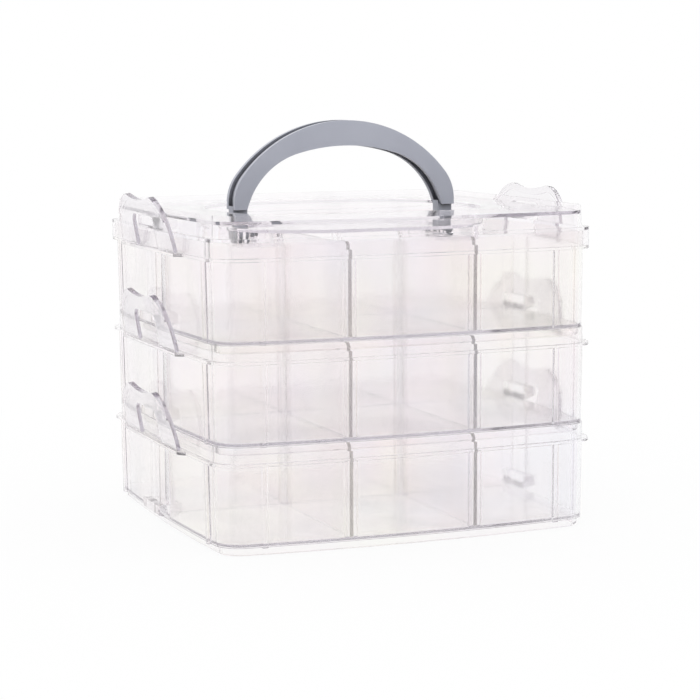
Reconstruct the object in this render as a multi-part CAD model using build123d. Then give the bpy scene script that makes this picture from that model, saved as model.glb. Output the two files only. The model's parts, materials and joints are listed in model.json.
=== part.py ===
from build123d import *
import os
from math import cos, radians, sin, sqrt, tan

# Plan of the box, taken over the lips
box_width = 150.0
box_depth = 144.0
front_bow = 4.2
side_bow = 2.2
corner_radius = 12.0

# Walls shared by the trays and the lid
wall = 1.3
floor_thickness = 1.2

# Tray
tray_height = 38.3
rim_rise = 5.5
lip_thickness = 1.05
lip_overhang = 2.0
wall_lean = 0.45
foot_depth = 3.0
foot_width = 1.5
foot_lead = 0.6
nest_gap = 0.3
seat_gap = 0.05
corner_rib_place = 19.0
corner_rib_width = 1.9
corner_rib_proud = 1.3

# Partition, slots and loose dividers
partition_drop = 6.7
slot_place = 23.9
rib_width = 1.45
rib_depth = 1.8
divider_thickness = 1.3
divider_side_gap = 0.15
divider_end_gap = 0.3
divider_foot_gap = 0.1
divider_head_gap = 0.9
divider_corner = 1.2
ring_gap = 0.6

# Snap ears, catches and the pads above the catches
ear_gap = 0.35
ear_thickness = 1.4
ear_lean = 10.0
ear_base_half = 33.0
ear_flank_half = 28.9
ear_horn_half = 14.7
ear_flank_height = 10.4
ear_horn_height = 18.7
ear_dip = 1.7
ear_horn_radius = 5.0
ear_root_gap = 0.1
root_sides = 8
ear_bead_height = 2.4
ear_bead_proud = 0.6
ear_window_half = 13.0
ear_window_corner = 4.0
ledge_half = 36.0
ledge_border = 0.3
ledge_corner = 2.5
catch_half = 9.5
catch_bottom = 3.6
catch_height = 5.4
catch_ramp = 1.7
catch_nose = 0.4
catch_side_gap = 0.2
catch_head_gap = 0.5
pad_half = 10.5
pad_proud = 1.2
pad_bevel = 1.2

# Lid
lid_rise = 9.05
skirt_gap = 0.4
skirt_foot_gap = 0.15
shoulder_thickness = 1.2
lid_wall_inset = 2.5
lid_wall_lean = 0.3
panel_drop = 2.0
panel_thickness = 1.2
recess_half_width = 49.5
recess_half_depth = 44.0
recess_corner = 33.0
recess_depth = 5.1
recess_slope = 12.0
pocket_side_gap = 0.5
pocket_room = 2.4
pocket_end_gap = 0.6
pocket_foot_gap = 0.4
pocket_corner = 1.5
bracket = 1.4

# Carry handle
handle_depth = 9.6
handle_swing = 65.0
pivot_drop = 10.15
leg_outer = 44.2
leg_width = 5.6
leg_depth = 5.0
leg_end_radius = 3.0
leg_neck = 8.3
outer_spring = 10.5
outer_haunch = 16.8
outer_crown = 40.7
inner_spring = 0.9
inner_haunch = 28.8
crown_width = 9.4
spring_width = 3.9
channel_depth = 1.3
channel_rim = 2.2
pin_radius = 1.6
pin_length = 4.0
pin_fit = 0.08

# Levels that follow from the sizes above
half_width = box_width / 2
half_depth = box_depth / 2
lip_top = tray_height - rim_rise
lip_bottom = lip_top - lip_thickness
partition_top = tray_height - partition_drop
floor_top = foot_depth + floor_thickness
tier_pitch = tray_height - foot_depth + seat_gap
rim_inset = lip_overhang + wall
base_inset = lip_overhang + wall_lean
foot_inset = rim_inset + nest_gap
catch_top = catch_bottom + catch_height
ear_inner = half_width + ear_gap
ear_outer = ear_inner + ear_thickness
ear_middle = ear_inner + ear_thickness / 2
ear_pivot = lip_top + ear_root_gap + ear_thickness / 2
window_rise = tier_pitch + catch_top + catch_head_gap - ear_pivot
window_height = window_rise / cos(radians(ear_lean))
window_face = window_rise * tan(radians(ear_lean)) - ear_thickness / 2 * cos(radians(ear_lean))
catch_reach = ear_middle + window_face - catch_side_gap
lid_base = 2 * tier_pitch + tray_height + seat_gap
lid_top = lid_base + lid_rise
shoulder_top = lid_base + shoulder_thickness
skirt_bottom = 2 * tier_pitch + lip_top + skirt_foot_gap
panel_top = lid_top - panel_drop
panel_under = panel_top - panel_thickness
recess_floor = panel_top - recess_depth
recess_under = recess_floor - panel_thickness
pivot_height = lid_top - pivot_drop
leg_inner = leg_outer - leg_width
inner_span = leg_outer - spring_width
inner_crown = outer_crown - crown_width


def bow_at(inset, across):
    """Distance from the middle to the bowed front outline at a given place across it."""
    half_chord = half_width - inset - side_bow
    radius = (half_chord ** 2 + front_bow ** 2) / (2 * front_bow)
    return half_depth - inset - radius + sqrt(radius ** 2 - across ** 2)


def plan(inset, height):
    """Bowed, rounded outline of the box, drawn in from the lip edge."""
    reach_x = half_width - inset
    reach_y = half_depth - inset
    corner_x = reach_x - side_bow
    corner_y = reach_y - front_bow
    sides = [
        ThreePointArc((-corner_x, -corner_y), (0, -reach_y), (corner_x, -corner_y)),
        ThreePointArc((corner_x, -corner_y), (reach_x, 0), (corner_x, corner_y)),
        ThreePointArc((corner_x, corner_y), (0, reach_y), (-corner_x, corner_y)),
        ThreePointArc((-corner_x, corner_y), (-reach_x, 0), (-corner_x, -corner_y)),
    ]
    face = make_face(sides)
    face = fillet(face.vertices(), corner_radius - inset)
    return Pos(0, 0, height) * face


def prism(inset, low, high):
    """Straight-sided solid on the plan outline."""
    return extrude(plan(inset, low), high - low)


def taper(low_inset, low, high_inset, high):
    """Leaning solid between two plan outlines."""
    return loft([plan(low_inset, low), plan(high_inset, high)], ruled=True)


def bar(x_low, x_high, y_low, y_high, z_low, z_high):
    """Box given by its faces."""
    box = Box(x_high - x_low, y_high - y_low, z_high - z_low, align=(Align.MIN, Align.MIN, Align.MIN))
    return Pos(x_low, y_low, z_low) * box


def both_sides(shape):
    """A shape and its copy on the other side of the middle."""
    return shape + mirror(shape, about=Plane.YZ)


def section_across(points, half_length):
    """Profile given as x and z, drawn out both ways along y."""
    face = Plane.XZ * make_face(Polyline(*points, close=True))
    return extrude(face, half_length, both=True)


def catch(wall_reach, low):
    """Catch block with a sloping underside, on the right-hand wall."""
    points = [
        (wall_reach, low),
        (catch_reach - catch_nose, low + catch_ramp),
        (catch_reach, low + catch_ramp + catch_nose),
        (catch_reach, low + catch_height),
        (wall_reach, low + catch_height),
    ]
    return section_across(points, catch_half)


def corner_ribs():
    """Upright ribs on the outside of the wall, one to each side of every corner."""
    rib_x = half_width - corner_rib_place
    rib_y = half_depth - corner_rib_place
    half = corner_rib_width / 2
    bars = both_sides(bar(rib_x - half, rib_x + half, -half_depth, half_depth, foot_depth, lip_bottom))
    across = bar(-half_width, half_width, rib_y - half, rib_y + half, foot_depth, lip_bottom)
    bars += across + mirror(across, about=Plane.XZ)
    return bars & taper(base_inset - corner_rib_proud, foot_depth, lip_overhang - corner_rib_proud, lip_bottom)


def tray_shell():
    """Outside of a tray: wall, ribs, lip, rim, foot ring, ear ledges, pads and catches."""
    shell = taper(base_inset, foot_depth, lip_overhang, lip_bottom)
    shell += corner_ribs()
    shell += prism(lip_overhang, lip_bottom, tray_height)
    shell += prism(0, lip_bottom, lip_top)
    ledge_reach = ear_outer + ledge_border
    ledge = Rectangle(2 * ledge_reach, 2 * ledge_half)
    ledge = chamfer(ledge.vertices(), ledge_corner)
    shell += extrude(Pos(0, 0, lip_bottom) * ledge, lip_thickness)
    foot = taper(foot_inset + foot_lead, 0, foot_inset, foot_lead)
    foot += prism(foot_inset, foot_lead, foot_depth)
    shell += foot - prism(foot_inset + foot_width, 0, foot_depth)
    wall_reach = half_width - lip_overhang
    inside = wall_reach - wall
    pad_points = [
        (inside, -pad_half),
        (wall_reach, -pad_half),
        (wall_reach + pad_proud, pad_bevel - pad_half),
        (wall_reach + pad_proud, pad_half - pad_bevel),
        (wall_reach, pad_half),
        (inside, pad_half),
    ]
    pad_face = Pos(0, 0, catch_top) * make_face(Polyline(*pad_points, close=True))
    shell += both_sides(extrude(pad_face, lip_bottom - catch_top))
    shell += both_sides(catch(inside, catch_bottom))
    return shell


def tray_room():
    """Space inside a tray: cavity less the partition and the divider slots."""
    inner_base = base_inset + wall
    room = taper(inner_base, floor_top, rim_inset, tray_height)
    room -= bar(-half_width, half_width, -wall / 2, wall / 2, floor_top, partition_top)
    slot_half = divider_thickness / 2 + divider_side_gap
    core = taper(inner_base + rib_depth, floor_top, rim_inset + rib_depth, tray_height)
    pillar_half = wall / 2 + rib_depth
    core -= bar(-half_width, half_width, -pillar_half, pillar_half, floor_top, tray_height)
    ribs = bar(
        slot_place - slot_half - rib_width,
        slot_place + slot_half + rib_width,
        -half_depth, half_depth, floor_top, partition_top,
    )
    ribs -= bar(
        slot_place - slot_half,
        slot_place + slot_half,
        -half_depth, half_depth, floor_top, partition_top,
    )
    return room - (both_sides(ribs) - core)


def tray():
    return tray_shell() - tray_room()


def slot_end(height):
    """Outer end of a divider at a height, clear of the leaning wall in its slot."""
    share = (tray_height - height) / (tray_height - floor_top)
    return bow_at(rim_inset + wall_lean * share, slot_place) - divider_end_gap


def divider():
    """Loose plate between the partition and the back wall, in the right-hand slot."""
    inner_end = wall / 2 + divider_end_gap
    low = floor_top + divider_foot_gap
    ring_end = bow_at(foot_inset + foot_width, slot_place) - ring_gap
    ring_level = tier_pitch - ring_gap
    top = tier_pitch + foot_depth - divider_head_gap
    points = [
        (inner_end, low),
        (slot_end(low), low),
        (slot_end(ring_level), ring_level),
        (ring_end, ring_level),
        (ring_end, top),
        (inner_end, top),
    ]
    face = make_face(Polyline(*points, close=True))
    upper = face.vertices().filter_by_position(Axis.Y, top - divider_corner, top + divider_corner)
    face = chamfer(upper, divider_corner)
    plate = extrude(Plane.YZ * face, divider_thickness / 2, both=True)
    return Pos(slot_place, 0, 0) * plate


def bell():
    """Outline of an ear with two rounded horns, heights taken along the ear from its pivot."""
    face = make_face([
        ThreePointArc(
            (ear_base_half, 0),
            (ear_flank_half, ear_flank_height),
            (ear_horn_half, ear_horn_height),
        ),
        ThreePointArc(
            (ear_horn_half, ear_horn_height),
            (0, ear_horn_height - ear_dip),
            (-ear_horn_half, ear_horn_height),
        ),
        ThreePointArc(
            (-ear_horn_half, ear_horn_height),
            (-ear_flank_half, ear_flank_height),
            (-ear_base_half, 0),
        ),
        Line((-ear_base_half, 0), (ear_base_half, 0)),
    ])
    return fillet(face.vertices().group_by(Axis.Y)[-1], ear_horn_radius)


def ear():
    """Spring ear of the right-hand side: a leaning bell with an arched window and a bead round its head."""
    outline = bell()
    blade = extrude(Plane.YZ * outline, ear_thickness / 2, both=True)
    root = RegularPolygon(ear_thickness / 2, root_sides)
    blade += extrude(Plane.XZ * root, ear_base_half, both=True)
    window = Pos(0, window_height / 2 - ear_thickness / 2) * Rectangle(
        2 * ear_window_half,
        window_height + ear_thickness,
    )
    window = fillet(window.vertices().group_by(Axis.Y)[-1], ear_window_corner)
    blade -= extrude(Plane.YZ * window, ear_thickness, both=True)
    bead = extrude(Plane.YZ * (outline - Pos(0, -ear_bead_height) * outline), ear_thickness / 2 + ear_bead_proud)
    bead -= bar(
        -ear_thickness, 2 * ear_thickness,
        -ear_base_half, ear_base_half,
        -ear_bead_height, ear_flank_height,
    )
    return Pos(ear_middle, 0, ear_pivot) * Rot(0, ear_lean, 0) * (blade + bead)


def lid():
    skirt_inset = lip_overhang - skirt_gap
    wall_top_inset = lid_wall_inset + lid_wall_lean
    body = prism(0, skirt_bottom, shoulder_top)
    body += taper(lid_wall_inset, lid_base, wall_top_inset, lid_top)
    body += both_sides(catch(half_width - lid_wall_inset - wall, 2 * tier_pitch + tier_pitch + catch_bottom))
    body -= prism(skirt_inset, skirt_bottom, lid_base)
    body -= taper(lid_wall_inset + wall, lid_base, wall_top_inset + wall, panel_under)
    body -= prism(wall_top_inset + wall, panel_top, lid_top)
    return body + pan_outside() - pan_inside()


def oval(grow, height):
    """Rounded outline of the handle recess."""
    face = RectangleRounded(
        2 * (recess_half_width + grow),
        2 * (recess_half_depth + grow),
        recess_corner + grow,
    )
    return Pos(0, 0, height) * face


def trough(x_low, x_high, y_low, y_high, grow, low, high):
    """Pocket with broken corners, grown outwards by a wall."""
    face = Rectangle(x_high - x_low + 2 * grow, y_high - y_low + 2 * grow)
    face = chamfer(face.vertices(), pocket_corner)
    return extrude(Pos((x_low + x_high) / 2, (y_low + y_high) / 2, low) * face, high - low)


def pocket(grow, low, high):
    """Leg pocket of the right-hand side, wider at both ends for the haunches of the lowered arch."""
    swing = radians(handle_swing)
    half = handle_depth / 2
    along = (recess_floor - pivot_height + half * sin(swing)) / cos(swing)
    reach = along * sin(swing) + half * cos(swing) + pocket_end_gap
    haunch_face = inner_span - inner_haunch + sqrt(inner_haunch ** 2 - (along - inner_spring) ** 2)
    inner = leg_inner - pocket_side_gap
    outer = leg_outer + pocket_room
    wide_inner = haunch_face - pocket_end_gap - pocket_corner
    wide_end = trough(wide_inner, outer, leg_neck, reach, grow, low, high)
    return trough(inner, outer, -reach, reach, grow, low, high) + wide_end + mirror(wide_end, about=Plane.XZ)


def pan_outside():
    """Outside of the handle recess and of its two leg pockets."""
    lean = recess_depth * tan(radians(recess_slope))
    pan = loft([oval(panel_thickness - lean, recess_under), oval(panel_thickness, panel_top)], ruled=True)
    pocket_floor = pivot_height - leg_end_radius - pocket_foot_gap
    return pan + both_sides(pocket(bracket, pocket_floor - panel_thickness, recess_floor))


def pan_inside():
    """Hollow of the handle recess, its leg pockets and the two pin holes."""
    lean = recess_depth * tan(radians(recess_slope))
    hollow = loft([oval(-lean, recess_floor), oval(0, panel_top)], ruled=True)
    pocket_floor = pivot_height - leg_end_radius - pocket_foot_gap
    bore_length = 2 * (bracket + pocket_side_gap)
    bore = Cylinder(pin_radius + pin_fit, bore_length, rotation=(0, 90, 0))
    bore = Pos(leg_inner - pocket_side_gap, 0, pivot_height) * bore
    return hollow + both_sides(pocket(0, pocket_floor, recess_floor) + bore)


def arch_face(span, spring, haunch, crown, low):
    """Three-centred arch standing on straight legs, heights taken from the pivot."""
    offset = span - haunch
    rise = crown - spring
    crown_radius = (offset ** 2 + rise ** 2 - haunch ** 2) / (2 * (rise - haunch))
    crown_centre = crown - crown_radius
    reach = sqrt(offset ** 2 + (spring - crown_centre) ** 2)
    out_x = offset / reach
    out_z = (spring - crown_centre) / reach
    join = (crown_radius * out_x, crown_centre + crown_radius * out_z)
    half_way = sqrt((1 + out_x) / 2)
    middle = (offset + haunch * half_way, spring + haunch * sqrt(1 - half_way ** 2))
    left_join = (-join[0], join[1])
    left_middle = (-middle[0], middle[1])
    return make_face([
        Line((-span, low), (span, low)),
        Line((span, low), (span, spring)),
        ThreePointArc((span, spring), middle, join),
        ThreePointArc(join, (0, crown), left_join),
        ThreePointArc(left_join, left_middle, (-span, spring)),
        Line((-span, spring), (-span, low)),
    ])


def upright(face, depth):
    """A face in the handle plane drawn out evenly to the front and the back."""
    return extrude(Plane.XZ * face, depth / 2, both=True)


def carry_handle():
    """Channelled arch on two legs that turn on inward pins."""
    below = -2 * leg_end_radius
    outside = arch_face(leg_outer, outer_spring, outer_haunch, outer_crown, below)
    inside = arch_face(inner_span, inner_spring, inner_haunch, inner_crown, below)
    arch = upright(outside - inside, handle_depth)
    channel = handle_depth - 2 * channel_rim
    outer_core = arch_face(
        leg_outer - channel_depth,
        outer_spring,
        outer_haunch - channel_depth,
        outer_crown - channel_depth,
        below,
    )
    inner_core = arch_face(
        inner_span + channel_depth,
        inner_spring,
        inner_haunch + channel_depth,
        inner_crown + channel_depth,
        below,
    )
    arch -= upright(outside - outer_core, channel)
    arch -= upright(inner_core - inside, channel)
    arch -= bar(-leg_outer, leg_outer, -handle_depth, handle_depth, below, leg_neck)
    leg = bar(leg_inner, leg_outer, -leg_depth / 2, leg_depth / 2, 0, leg_neck + channel_depth)
    end = Cylinder(leg_end_radius, leg_width, rotation=(0, 90, 0))
    leg += Pos((leg_inner + leg_outer) / 2, 0, 0) * end
    pin = Cylinder(pin_radius, pin_length + leg_width, rotation=(0, 90, 0))
    leg += Pos(leg_outer - (pin_length + leg_width) / 2, 0, 0) * pin
    return Pos(0, 0, pivot_height) * (arch + both_sides(leg))


def save(name, shape):
    export_step(shape, os.path.join("parts", name + ".step"))


os.makedirs("parts", exist_ok=True)
one_tray = tray()
one_ear = ear()
one_divider = divider()
for tier, name in enumerate(("lower", "middle", "upper")):
    lift = Pos(0, 0, tier * tier_pitch)
    save(name + "_tray", lift * one_tray)
    save(name + "_right_latch", lift * one_ear)
    save(name + "_left_latch", lift * mirror(one_ear, about=Plane.YZ))
    for row, facing in (("back", one_divider), ("front", mirror(one_divider, about=Plane.XZ))):
        save(name + "_" + row + "_right_divider", lift * facing)
        save(name + "_" + row + "_left_divider", lift * mirror(facing, about=Plane.YZ))
save("lid", lid())
save("carry_handle", carry_handle())
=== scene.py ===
import json
import math

import bpy
from mathutils import Matrix, Vector

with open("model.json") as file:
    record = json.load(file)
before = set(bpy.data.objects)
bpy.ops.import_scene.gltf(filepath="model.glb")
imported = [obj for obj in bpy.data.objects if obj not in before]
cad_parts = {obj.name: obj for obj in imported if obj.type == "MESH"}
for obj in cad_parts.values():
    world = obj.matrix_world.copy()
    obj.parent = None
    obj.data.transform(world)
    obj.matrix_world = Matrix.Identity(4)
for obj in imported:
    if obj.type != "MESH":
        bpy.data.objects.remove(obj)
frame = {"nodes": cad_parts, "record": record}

# Clear plastic: tints of the surface, and the colour that light takes on in its thickness
soft_tints = ((1.0, 0.994, 0.970), (1.0, 0.979, 0.983), (0.988, 0.985, 1.0))
rose_tints = ((1.0, 0.986, 0.992), (0.998, 0.991, 1.0))
lilac_body = (0.79, 0.768, 0.808)
warm_body = (0.80, 0.78, 0.785)
frosted = (0.08, 0.13)
glossy = (0.03, 0.05)
clear_ior = 1.38
clear_tint_scale = 18.0
clear_frost_scale = 40.0
clear_bump_scale = 260.0
clear_bump_depth = 0.00006

# Grey plastic of the handle, with painted shade darkening it down in its channels
grey_tints = ((0.465, 0.48, 0.55), (0.495, 0.51, 0.58))
grey_tint_scale = 60.0
satin = (0.30, 0.38)
satin_scale = 220.0
grain_scale = 900.0
grain_depth = 0.00005
channel_reach = 0.004
channel_openness = (0.55, 0.95)
channel_shade = (0.22, 1.0)
channel_samples = 8

# Noise behind tints, frost and bump
ramp_start, ramp_end = 0.35, 0.65
tint_detail = 2.0
bump_detail = 3.0
bump_strength = 0.3

# Studio, in metres and watts
floor_size = 6.0
floor_grey = 0.95
shadow_fade = (0.08, 0.30)
shadow_white = (0.94, 1.0)
sky_colour = (0.98, 0.985, 1.0)
sky_strength = 0.95
lamp_size = 0.9
lamp_aim = (0, 0, 0.07)
lamps = {
    "key_lamp": ((-0.9, -0.9, 1.3), 1.5),
    "fill_lamp": ((1.2, -0.7, 0.9), 0.8),
    "back_lamp": ((0.3, 1.2, 1.2), 1.0),
}

# Camera at the photograph's viewing angle
camera_place = (-0.3020, -0.7713, 0.1655)
camera_yaw, camera_pitch, camera_roll = 21.567, 7.159, -0.418
camera_lens = 112.67
camera_sensor = 36.0
camera_near = 0.01

# Light has to pass many clear walls
clear_bounces = 40
diffuse_bounces = 30


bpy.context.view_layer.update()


def opaque(colour):
    return (*colour, 1.0)


def new_material(name):
    mat = bpy.data.materials.new(name)
    mat.use_nodes = True
    mat.node_tree.nodes.clear()
    return mat, mat.node_tree.nodes, mat.node_tree.links


def object_noise(nodes, links, scale, detail):
    where = nodes.new("ShaderNodeTexCoord")
    noise = nodes.new("ShaderNodeTexNoise")
    noise.inputs["Scale"].default_value = scale
    noise.inputs["Detail"].default_value = detail
    links.new(where.outputs["Object"], noise.inputs["Vector"])
    return noise.outputs["Fac"]


def noise_ramp(nodes, links, scale, stops):
    """Soft noise turned into a narrow run of colours."""
    ramp = nodes.new("ShaderNodeValToRGB")
    points = ramp.color_ramp.elements
    points[0].position, points[1].position = ramp_start, ramp_end
    points[0].color, points[1].color = opaque(stops[0]), opaque(stops[-1])
    for count, stop in enumerate(stops[1:-1], start=1):
        share = count / (len(stops) - 1)
        points.new(ramp_start + (ramp_end - ramp_start) * share).color = opaque(stop)
    links.new(object_noise(nodes, links, scale, tint_detail), ramp.inputs["Fac"])
    return ramp.outputs["Color"]


def map_range(nodes, links, value, source, target):
    scaled = nodes.new("ShaderNodeMapRange")
    scaled.inputs["From Min"].default_value, scaled.inputs["From Max"].default_value = source
    scaled.inputs["To Min"].default_value, scaled.inputs["To Max"].default_value = target
    links.new(value, scaled.inputs["Value"])
    return scaled.outputs["Result"]


def moulded_surface(nodes, links, shader, rough_scale, roughness, bump_scale, bump_depth):
    """Slightly uneven gloss and the faint unevenness of a moulded surface."""
    levels = [(level,) * 3 for level in roughness]
    links.new(noise_ramp(nodes, links, rough_scale, levels), shader.inputs["Roughness"])
    bump = nodes.new("ShaderNodeBump")
    bump.inputs["Strength"].default_value = bump_strength
    bump.inputs["Distance"].default_value = bump_depth
    links.new(object_noise(nodes, links, bump_scale, bump_detail), bump.inputs["Height"])
    links.new(bump.outputs["Normal"], shader.inputs["Normal"])


def clear_plastic(name, tints, roughness, body, clearness, density):
    """See-through plastic, a little milky, darker where light runs a long way through it."""
    mat, nodes, links = new_material(name)
    out = nodes.new("ShaderNodeOutputMaterial")
    shader = nodes.new("ShaderNodeBsdfPrincipled")
    shader.inputs["Transmission Weight"].default_value = clearness
    shader.inputs["IOR"].default_value = clear_ior
    links.new(noise_ramp(nodes, links, clear_tint_scale, tints), shader.inputs["Base Color"])
    moulded_surface(
        nodes, links, shader, clear_frost_scale, roughness, clear_bump_scale, clear_bump_depth
    )
    volume = nodes.new("ShaderNodeVolumeAbsorption")
    volume.inputs["Color"].default_value = opaque(body)
    volume.inputs["Density"].default_value = density
    links.new(shader.outputs["BSDF"], out.inputs["Surface"])
    links.new(volume.outputs["Volume"], out.inputs["Volume"])
    return mat


def tray_clear():
    return clear_plastic("tray_clear", soft_tints, frosted, lilac_body, clearness=0.9975, density=14.0)


def lid_clear():
    return clear_plastic("lid_clear", rose_tints, glossy, lilac_body, clearness=0.994, density=18.0)


def latch_clear():
    return clear_plastic("latch_clear", rose_tints, glossy, lilac_body, clearness=0.965, density=115.0)


def divider_clear():
    return clear_plastic("divider_clear", soft_tints, frosted, warm_body, clearness=0.9975, density=7.0)


def painted_shade_in_channels(nodes, links, colour):
    # Painted shade: ambient occlusion darkens the colour where the handle's channels are hollow
    hollow = nodes.new("ShaderNodeAmbientOcclusion")
    hollow.samples = channel_samples
    hollow.only_local = True
    hollow.inputs["Distance"].default_value = channel_reach
    shaded = nodes.new("ShaderNodeVectorMath")
    shaded.operation = "SCALE"
    links.new(colour, shaded.inputs["Vector"])
    shade = map_range(nodes, links, hollow.outputs["AO"], channel_openness, channel_shade)
    links.new(shade, shaded.inputs["Scale"])
    return shaded.outputs["Vector"]


def handle_grey():
    """Opaque moulded plastic with a fine, even grain and painted shade down in its channels."""
    mat, nodes, links = new_material("handle_grey")
    out = nodes.new("ShaderNodeOutputMaterial")
    shader = nodes.new("ShaderNodeBsdfPrincipled")
    colour = noise_ramp(nodes, links, grey_tint_scale, grey_tints)
    links.new(painted_shade_in_channels(nodes, links, colour), shader.inputs["Base Color"])
    moulded_surface(nodes, links, shader, satin_scale, satin, grain_scale, grain_depth)
    links.new(shader.outputs["BSDF"], out.inputs["Surface"])
    return mat


def dress_nodes():
    makers = (tray_clear, lid_clear, latch_clear, divider_clear, handle_grey)
    slots = {make.__name__: make() for make in makers}
    for part in frame["record"]["subparts"]:
        node = frame["nodes"][part["node"]]
        node.data.materials.clear()
        node.data.materials.append(slots[part["material_slot"]])


def seen_ray(nodes, links):
    """1 for rays from the camera, reflections and light seen through plastic, else 0."""
    path = nodes.new("ShaderNodeLightPath")
    seen = path.outputs["Is Camera Ray"]
    for other in ("Is Glossy Ray", "Is Transmission Ray"):
        either = nodes.new("ShaderNodeMath")
        either.operation = "MAXIMUM"
        links.new(seen, either.inputs[0])
        links.new(path.outputs[other], either.inputs[1])
        seen = either.outputs[0]
    return seen


def mix_by(nodes, links, share, first, second, out):
    mix = nodes.new("ShaderNodeMixShader")
    links.new(share, mix.inputs["Fac"])
    links.new(first, mix.inputs[1])
    links.new(second, mix.inputs[2])
    links.new(mix.outputs["Shader"], out.inputs["Surface"])


def floor_white():
    """White that keeps a light shadow near the box and fades into the surroundings."""
    mat, nodes, links = new_material("studio_floor")
    out = nodes.new("ShaderNodeOutputMaterial")
    lit = nodes.new("ShaderNodeBsdfDiffuse")
    lit.inputs["Color"].default_value = opaque((floor_grey,) * 3)
    white = nodes.new("ShaderNodeEmission")
    where = nodes.new("ShaderNodeTexCoord")
    reach = nodes.new("ShaderNodeVectorMath")
    reach.operation = "LENGTH"
    links.new(where.outputs["Object"], reach.inputs[0])
    share = nodes.new("ShaderNodeMath")
    share.operation = "MULTIPLY"
    fade = map_range(nodes, links, reach.outputs["Value"], shadow_fade, shadow_white)
    links.new(fade, share.inputs[0])
    links.new(seen_ray(nodes, links), share.inputs[1])
    mix_by(nodes, links, share.outputs[0], lit.outputs["BSDF"], white.outputs["Emission"], out)
    return mat


def pale_floor():
    bpy.ops.mesh.primitive_plane_add(size=floor_size, location=(0, 0, 0))
    floor = bpy.context.object
    floor.name = "studio_floor"
    floor.data.materials.append(floor_white())


def white_world():
    """A soft even sky for lighting, plain white where it is seen."""
    world = bpy.data.worlds.new("studio")
    bpy.context.scene.world = world
    world.use_nodes = True
    nodes, links = world.node_tree.nodes, world.node_tree.links
    nodes.clear()
    out = nodes.new("ShaderNodeOutputWorld")
    sky = nodes.new("ShaderNodeBackground")
    sky.inputs["Color"].default_value = opaque(sky_colour)
    sky.inputs["Strength"].default_value = sky_strength
    white = nodes.new("ShaderNodeBackground")
    white.inputs["Color"].default_value = (1.0, 1.0, 1.0, 1.0)
    white.inputs["Strength"].default_value = 1.0
    seen = seen_ray(nodes, links)
    mix_by(nodes, links, seen, sky.outputs["Background"], white.outputs["Background"], out)


def soft_lamp(name, place, power):
    data = bpy.data.lights.new(name, "AREA")
    data.shape = "SQUARE"
    data.size = lamp_size
    data.energy = power
    lamp = bpy.data.objects.new(name, data)
    lamp.location = place
    aim = Vector(lamp_aim) - Vector(place)
    lamp.rotation_euler = aim.to_track_quat("-Z", "Y").to_euler()
    bpy.context.scene.collection.objects.link(lamp)


def camera_turn():
    """Right, up and backward axes of the camera as a rotation."""
    yaw, pitch, roll = (math.radians(v) for v in (camera_yaw, camera_pitch, camera_roll))
    level = math.cos(pitch)
    ahead = Vector((math.sin(yaw) * level, math.cos(yaw) * level, -math.sin(pitch)))
    right = Vector((math.cos(yaw), -math.sin(yaw), 0.0))
    up = right.cross(ahead)
    rolled_right = math.cos(roll) * right + math.sin(roll) * up
    rolled_up = -math.sin(roll) * right + math.cos(roll) * up
    return Matrix((rolled_right, rolled_up, -ahead)).transposed().to_4x4()


def photo_camera():
    data = bpy.data.cameras.new("photo_camera")
    data.sensor_width = camera_sensor
    data.lens = camera_lens
    data.clip_start = camera_near
    camera = bpy.data.objects.new("photo_camera", data)
    camera.matrix_world = Matrix.Translation(camera_place) @ camera_turn()
    bpy.context.scene.collection.objects.link(camera)
    bpy.context.scene.camera = camera


def view_and_bounces():
    scene = bpy.context.scene
    scene.view_settings.view_transform = "Standard"
    scene.cycles.max_bounces = clear_bounces
    scene.cycles.transmission_bounces = clear_bounces
    scene.cycles.transparent_max_bounces = clear_bounces
    scene.cycles.glossy_bounces = clear_bounces
    scene.cycles.diffuse_bounces = diffuse_bounces


dress_nodes()
pale_floor()
white_world()
for lamp_name, (lamp_place, lamp_power) in lamps.items():
    soft_lamp(lamp_name, lamp_place, lamp_power)
photo_camera()
view_and_bounces()
